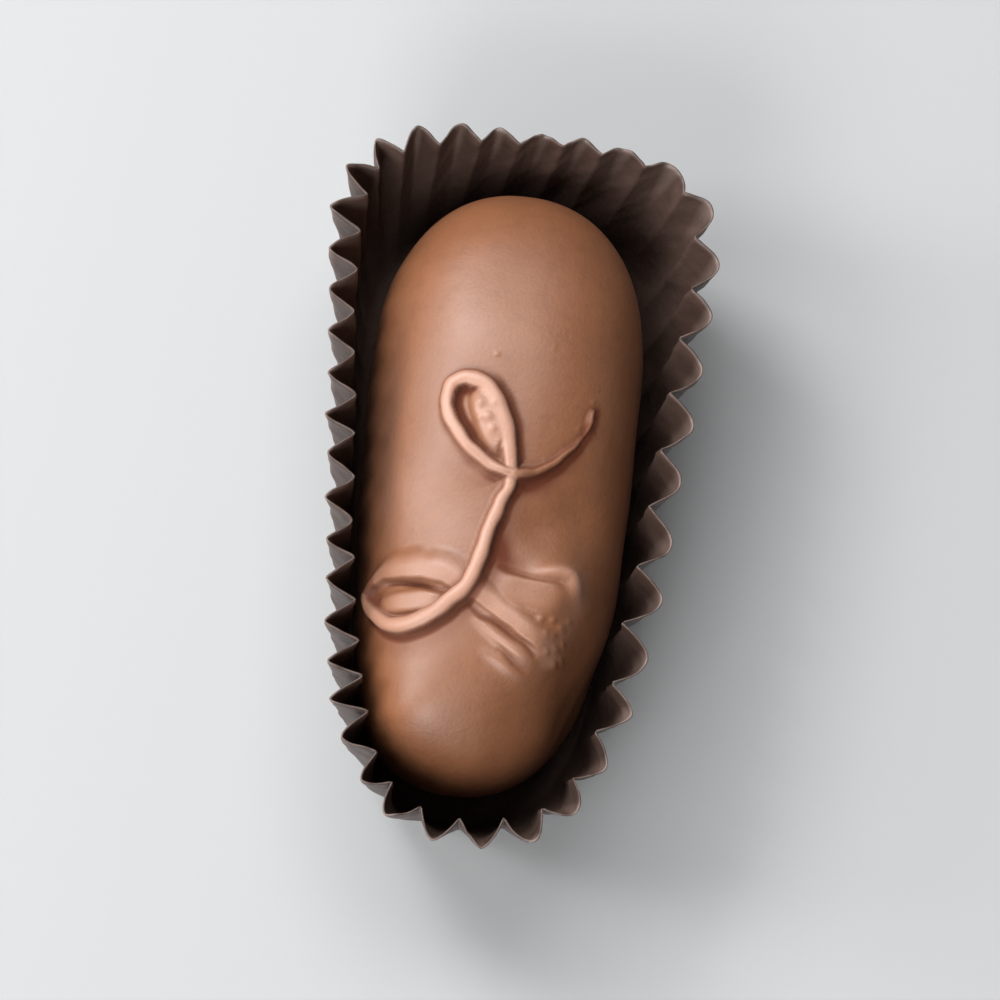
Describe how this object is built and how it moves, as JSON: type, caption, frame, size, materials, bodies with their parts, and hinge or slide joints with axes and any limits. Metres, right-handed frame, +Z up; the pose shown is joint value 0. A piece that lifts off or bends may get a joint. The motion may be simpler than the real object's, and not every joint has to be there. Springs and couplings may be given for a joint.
{
  "type": "chocolate covered marzipan",
  "caption": "Finger of marzipan dipped in milk chocolate, with a looped strung mark on its crown, lying in an oblong fluted paper case.",
  "frame": {"origin": "middle of the flat underside of the paper case", "axes": "+Y along the finger towards its blunt end, +Z up out of the case, +X to the right when the blunt end points away"},
  "size_m": [0.0321, 0.0597, 0.0207],
  "materials": {
    "milk_chocolate": "satin",
    "brown_paper": "satin"
  },
  "bodies": {
    "root": {"dipped_finger": "milk_chocolate", "paper_case": "brown_paper"}
  },
  "joints": []
}
